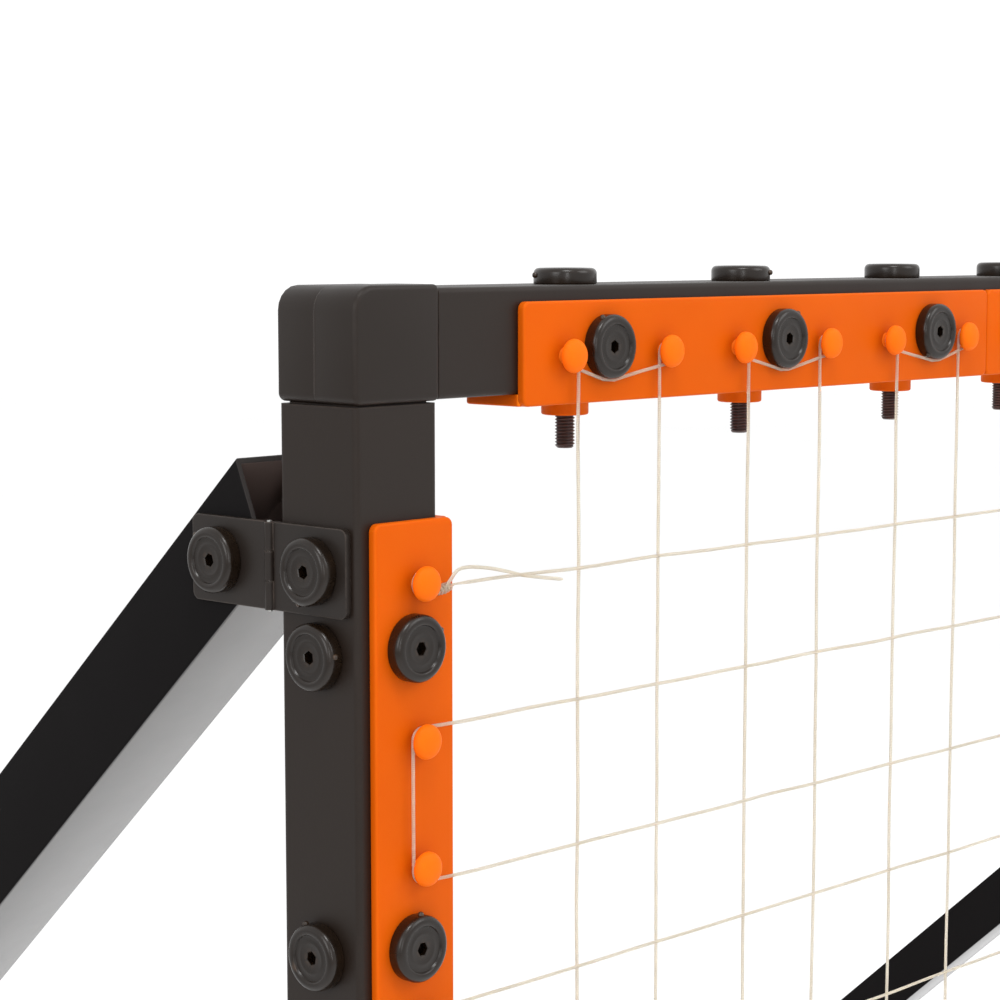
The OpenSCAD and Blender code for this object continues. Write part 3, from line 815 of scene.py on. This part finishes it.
def level_route():
    """From side to side between the posts, starting at the knot by the left post's top peg."""
    pegs, bolts = peg_lines(1)
    far = (top_z - foot_z) / MM
    route = []
    for k in range(0, len(pegs), 2):
        upper, lower = pegs[k], pegs[k + 1]
        route += [
            wheel(3, far - upper, PEG_Z, LOOSE_R, (-LOOSE, -LOOSE)),
            wheel(1, upper, PEG_Z, LOOSE_R, (-LOOSE, -LOOSE)),
            wheel(1, bolts[k // 2], BOLT_Z, HEAD_TURN_R),
            wheel(1, lower, PEG_Z, LOOSE_R, (-LOOSE, LOOSE)),
            wheel(3, far - lower, PEG_Z, LOOSE_R, (-LOOSE, LOOSE)),
        ]
    return route


def smooth_path(knots, steps=6):
    """Catmull-Rom path through (x, y, z) points."""
    points = [Vector(k) for k in knots]
    padded = [2 * points[0] - points[1], *points, 2 * points[-1] - points[-2]]
    path = []
    for a, b, c, d in zip(padded, padded[1:], padded[2:], padded[3:]):
        for k in range(steps):
            t = k / steps
            path.append(0.5 * (2 * b + (c - a) * t + (2 * a - 5 * b + 4 * c - d) * t * t
                               + (3 * b - a - 3 * c + d) * t ** 3))
    return [*path, points[-1]]


KNOT_START = (5.5, -6.8, -3.6)
KNOT_END = (15, -7.4, -1.5)
KNOT_TURNS = 5
TAIL = (
    (8.5, -8, -3), (11.2, -9, 0.4), (13.4, -9.2, 2.8), (16, -9.2, 4), (20, -9.2, 4.3), (25, -9.3, 3.8),
    (32, -9.5, 2.7), (40, -9.5, 0.9), (48, -9.5, -1.2), (61, -8.6, -3.5), (72, -8.2, -5.2),
)


def knot_and_tail(mesh, place, x, z):
    """Loops round the peg, the wound knot beside it and the loose end."""
    peg = Matrix.Translation((x, 0, z))
    loops = []
    for k in range(46):
        angle = math.radians(-60 + 17 * k)
        radius = TIGHT_R + 0.03 * k
        loops.append(Vector((radius * math.cos(angle), UPRIGHT_Y + 0.6 - 0.02 * k, radius * math.sin(angle))))
    add_twine(mesh, place @ peg, loops + smooth_path([(3.4, -6.4, -3.2), KNOT_START, KNOT_END]))
    start, end = Vector(KNOT_START), Vector(KNOT_END)
    along = (end - start).normalized()
    side = along.orthogonal().normalized()
    other = along.cross(side)
    coil = []
    for k in range(KNOT_TURNS * 14 + 1):
        t = k / (KNOT_TURNS * 14)
        angle = TURN * KNOT_TURNS * t
        girth = 1.0 + 0.5 * math.sin(math.pi * t)
        around = side * math.cos(angle) + other * math.sin(angle)
        coil.append(start.lerp(end, 0.05 + 0.75 * t) + around * girth)
    add_twine(mesh, place @ peg, coil, TWINE_R * 0.85)
    add_twine(mesh, place @ peg, smooth_path(TAIL))


def net():
    """The two strung lines; the level one starts at the knot."""
    place = side_matrix(0)
    mesh = bmesh.new()
    add_twine(mesh, place, belt(upright_route(), UPRIGHT_Y))
    finish_mesh("upright_net_twine_strung", mesh, [cream], "frame", ["upright_net_twine"], 80)
    mesh = bmesh.new()
    route = level_route()
    x, z = route[0][0] + LOOSE, route[0][1] + LOOSE
    route[0] = (x + KNOT_END[0], z + KNOT_END[2], 0, KNOT_END[1])
    add_twine(mesh, place, belt(route, LEVEL_Y))
    knot_and_tail(mesh, place, x, z)
    finish_mesh("level_net_twine_strung", mesh, [cream], "frame", ["level_net_twine"], 80)


# ------------------------------------------------------------ make everything
random.seed(7)
for side in range(4):
    front_bolts(side)
    through_bolts(side)
    for index, (name, middle) in enumerate(rail_nodes(side)):
        peg_rail(side, name, middle, index)
top_corner(0, "top_left_corner")
top_corner(1, "top_right_corner")
for hand in range(2):
    hinge_and_stay_bolts(hand)
    brace(hand)
net()

LOOKS = (
    ("post_hinge_leaves", bracket_black), ("stay_hinge_leaves", bracket_black),
    ("gusset_plate", bracket_black), ("corner", corner_black), ("plugs", corner_black),
    ("foot", rubber_black), ("feet", rubber_black), ("pins", steel), ("inserts", steel),
    ("ground_rail", tube_black), ("_post", tube_black), ("bar", tube_black),
)
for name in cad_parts:
    for ending, look in LOOKS:
        if name.endswith(ending):
            dress(name, look)
            break

# ------------------------------------------------------------ floor and light
floor_mesh = bpy.data.meshes.new("studio_floor")
reach = 14
corners = [(-reach, -reach, 0), (reach, -reach, 0), (reach, reach, 0), (-reach, reach, 0)]
floor_mesh.from_pydata(corners, [], [(0, 1, 2, 3)])
floor = bpy.data.objects.new("studio_floor", floor_mesh)
scene.collection.objects.link(floor)
floor_paint = Paint("pale_floor")
# The floor is painted darker towards -x: painted shade for a darker studio on that side.
along_floor = floor_paint.nodes.new("ShaderNodeSeparateXYZ")
floor_paint.links.new(floor_paint.place, along_floor.inputs["Vector"])
painted_shade_ramp = floor_paint.nodes.new("ShaderNodeMapRange")
painted_shade_ramp.inputs["From Min"].default_value = -3.2
painted_shade_ramp.inputs["From Max"].default_value = -0.9
floor_paint.links.new(along_floor.outputs["X"], painted_shade_ramp.inputs["Value"])
near_tone = floor_paint.ramp(floor_paint.noise(0.8), [(0.3, (0.9, 0.9, 0.9)), (0.7, (0.93, 0.93, 0.93))])
shaded_tone = floor_paint.ramp(floor_paint.noise(0.8), [(0.3, (0.62, 0.62, 0.62)), (0.7, (0.65, 0.65, 0.65))])
floor_paint.into("Base Color", floor_paint.mix(painted_shade_ramp.outputs["Result"], shaded_tone, near_tone))
floor_paint.shader.inputs["Roughness"].default_value = 0.9
floor_mesh.materials.append(floor_paint.material)

world = bpy.data.worlds.new("studio")
scene.world = world
world.use_nodes = True
world.node_tree.nodes["Background"].inputs["Color"].default_value = (1, 1, 1, 1)
world.node_tree.nodes["Background"].inputs["Strength"].default_value = 1.1


def area_light(name, place, target, size, power):
    data = bpy.data.lights.new(name, "AREA")
    data.shape = "RECTANGLE"
    data.size, data.size_y = size
    data.energy = power
    light = bpy.data.objects.new(name, data)
    light.location = place
    light.rotation_euler = (Vector(target) - Vector(place)).to_track_quat("-Z", "Y").to_euler()
    scene.collection.objects.link(light)


area_light("key", (0.6, -2.6, 2.6), (-0.3, -0.5, 0.9), (1.6, 1.6), 22)
area_light("fill", (-2.8, -0.8, 1.8), (-0.6, -0.4, 0.9), (0.9, 1.2), 12)
area_light("top", (-1.3, -1.5, 3.4), (-0.5, -0.4, 0.9), (0.7, 0.7), 22)
area_light("strip", (-2.4, -2.7, 1.5), (-0.6, -0.5, 1.0), (0.25, 1.4), 8)

scene.view_settings.view_transform = "Standard"
